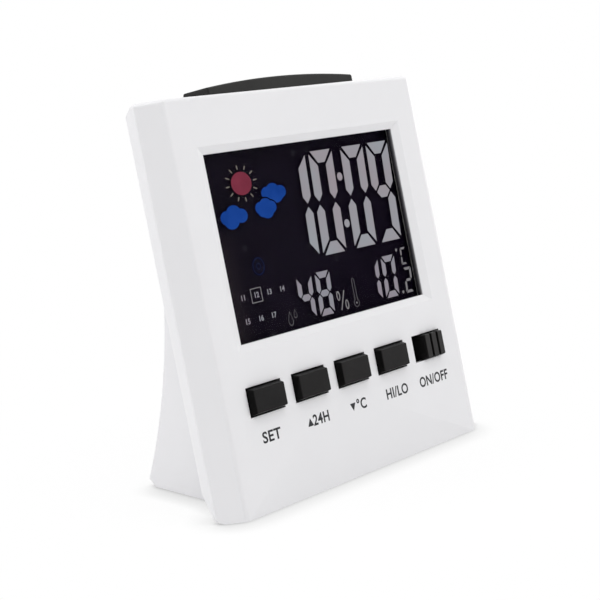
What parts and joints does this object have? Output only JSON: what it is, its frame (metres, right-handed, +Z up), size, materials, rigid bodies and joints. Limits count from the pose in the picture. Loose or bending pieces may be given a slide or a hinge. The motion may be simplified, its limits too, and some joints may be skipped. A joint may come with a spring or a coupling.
{
  "type": "weather station",
  "caption": "White desk weather station with a dark colour display, black keys, a slide switch, a black snooze bar and a foot that holds the cells.",
  "frame": {"origin": "under the middle of the case, on the floor", "axes": "+Z up, X across the face, the face looks to -Y"},
  "size_m": [0.0946, 0.0328, 0.0855],
  "materials": {
    "white_plastic": "semi-gloss moulded",
    "black_plastic": "satin moulded",
    "clear_lens": "clear, faintly smoked",
    "display_glass": "dark display glass",
    "guide_acrylic": "polished acrylic",
    "holder_plastic": "moulded",
    "strip_rubber": "elastomer",
    "board_green": "solder mask",
    "part_black": "moulded",
    "part_steel": "plated",
    "led_yellow": "phosphor",
    "lead_red": "insulated lead",
    "lead_black": "insulated lead",
    "can_blue": "printed sleeve"
  },
  "bodies": {
    "case": {"front_shell": "white_plastic", "rear_shell": "white_plastic", "lens": "clear_lens", "lcd_front_glass": "display_glass", "lcd_rear_glass": "display_glass", "light_guide": "guide_acrylic", "led_strip": "holder_plastic", "leds": "led_yellow", "display_holder": "holder_plastic", "contact_strip": "strip_rubber", "main_board": "board_green", "key_switches": "part_steel", "slide_switch": "part_steel", "snooze_switch": "part_steel", "chip_cover": "part_black", "quartz": "part_steel", "capacitors": "can_blue", "buzzer": "part_black", "microphone": "part_steel", "sensor": "holder_plastic", "cell_cans": "part_steel", "cell_sleeves": "can_blue", "contact_link": "part_steel", "contact_plus": "part_steel", "contact_minus": "part_steel", "lead_plus": "lead_red", "lead_minus": "lead_black", "case_screws": "part_steel", "board_screws": "part_steel"},
    "key_1_body": {"key_1": "black_plastic", "key_plunger_1": "part_black"},
    "key_2_body": {"key_2": "black_plastic", "key_plunger_2": "part_black"},
    "key_3_body": {"key_3": "black_plastic", "key_plunger_3": "part_black"},
    "key_4_body": {"key_4": "black_plastic", "key_plunger_4": "part_black"},
    "slider_body": {"slide_knob": "black_plastic", "slide_lever": "part_black"},
    "snooze_body": {"snooze_bar": "black_plastic", "snooze_plunger": "part_black"},
    "door_body": {"battery_door": "white_plastic"}
  },
  "joints": [
    {"name": "key_1_press", "type": "slide", "parent": "case", "child": "key_1_body", "axis": [0, 0.9686, -0.2487], "range_m": [0, 0.0006], "stiffness_N_per_m": 400, "springref_m": -0.0005},
    {"name": "key_2_press", "type": "slide", "parent": "case", "child": "key_2_body", "axis": [0, 0.9686, -0.2487], "range_m": [0, 0.0006], "stiffness_N_per_m": 400, "springref_m": -0.0005},
    {"name": "key_3_press", "type": "slide", "parent": "case", "child": "key_3_body", "axis": [0, 0.9686, -0.2487], "range_m": [0, 0.0006], "stiffness_N_per_m": 400, "springref_m": -0.0005},
    {"name": "key_4_press", "type": "slide", "parent": "case", "child": "key_4_body", "axis": [0, 0.9686, -0.2487], "range_m": [0, 0.0006], "stiffness_N_per_m": 400, "springref_m": -0.0005},
    {"name": "light_slide", "type": "slide", "parent": "case", "child": "slider_body", "axis": [1, 0, 0], "range_m": [-0.0024, 0]},
    {"name": "snooze_press", "type": "slide", "parent": "case", "child": "snooze_body", "axis": [0, -0.2487, -0.9686], "range_m": [0, 0.0008], "stiffness_N_per_m": 500, "springref_m": -0.0008},
    {"name": "door_lift", "type": "slide", "parent": "case", "child": "door_body", "axis": [0, 0.984, 0.1784], "range_m": [0, 0.03]}
  ]
}
